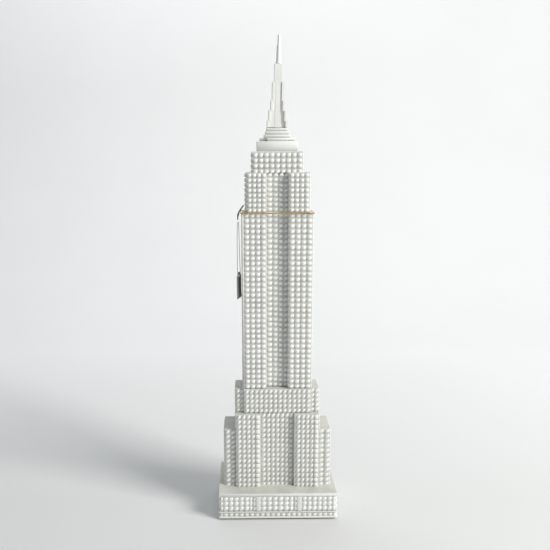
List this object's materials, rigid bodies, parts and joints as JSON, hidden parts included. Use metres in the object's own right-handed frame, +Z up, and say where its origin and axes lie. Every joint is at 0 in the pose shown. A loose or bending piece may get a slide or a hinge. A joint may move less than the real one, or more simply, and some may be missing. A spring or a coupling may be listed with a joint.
{
  "type": "miniature landmark model",
  "caption": "White stepped tower ornament on a broad plinth, studded walls and a slender mast, with a strung ticket on a rubber band.",
  "frame": {"origin": "on the table, under the centre of the plinth", "axes": "+Z up the tower, -Y out of the front face, +X to the right seen from the front"},
  "size_m": [0.178, 0.107, 0.7],
  "materials": {
    "white_resin": "satin",
    "felt": "matte",
    "board": "matte",
    "steel": "satin",
    "rubber": "satin",
    "string": "matte",
    "card": "matte"
  },
  "bodies": {
    "tower": {"base_board": "board", "base_screw_back_left": "steel", "base_screw_back_right": "steel", "base_screw_front_left": "steel", "base_screw_front_right": "steel", "belt_block": "white_resin", "belt_wing_left": "white_resin", "belt_wing_right": "white_resin", "crown_slab_1": "white_resin", "crown_slab_2": "white_resin", "crown_slab_3": "white_resin", "crown_slab_4": "white_resin", "deck_block": "white_resin", "foot_back_left": "felt", "foot_back_right": "felt", "foot_front_left": "felt", "foot_front_right": "felt", "mast_core": "white_resin", "mast_fin_back_left": "white_resin", "mast_fin_back_right": "white_resin", "mast_fin_front_left": "white_resin", "mast_fin_front_right": "white_resin", "mast_pin": "steel", "plinth_panel_back_left": "white_resin", "plinth_panel_back_middle": "white_resin", "plinth_panel_back_right": "white_resin", "plinth_panel_front_left": "white_resin", "plinth_panel_front_middle": "white_resin", "plinth_panel_front_right": "white_resin", "plinth_panel_left": "white_resin", "plinth_panel_right": "white_resin", "plinth_top": "white_resin", "plinth_wall_back": "white_resin", "plinth_wall_front": "white_resin", "plinth_wall_left": "white_resin", "plinth_wall_right": "white_resin", "podium_core": "white_resin", "podium_corner_back_left": "white_resin", "podium_corner_back_right": "white_resin", "podium_corner_front_left": "white_resin", "podium_corner_front_right": "white_resin", "podium_facing_back": "white_resin", "podium_facing_front": "white_resin", "podium_wing_left": "white_resin", "podium_wing_right": "white_resin", "shaft_flank_left": "white_resin", "shaft_flank_right": "white_resin", "shoulder_flank_left": "white_resin", "shoulder_flank_right": "white_resin", "spire": "white_resin", "tie_rod": "steel", "tie_rod_nut_lower": "steel", "tie_rod_nut_upper": "steel", "tie_rod_washer_lower": "steel", "tie_rod_washer_upper": "steel", "tower_core": "white_resin"},
    "band": {"rubber_band": "rubber", "band_knot": "rubber"},
    "tag": {"tag_string": "string", "ticket": "card"}
  },
  "joints": [
    {"name": "band_slide", "type": "slide", "parent": "tower", "child": "band", "axis": [0, 0, 1], "range_m": [-0.12, 0.0003]},
    {"name": "tag_swing", "type": "hinge", "parent": "band", "child": "tag", "pos_m": [-0.0562, -0.0172, 0.444], "axis": [0, 1, 0], "range_deg": [0, 85]}
  ]
}
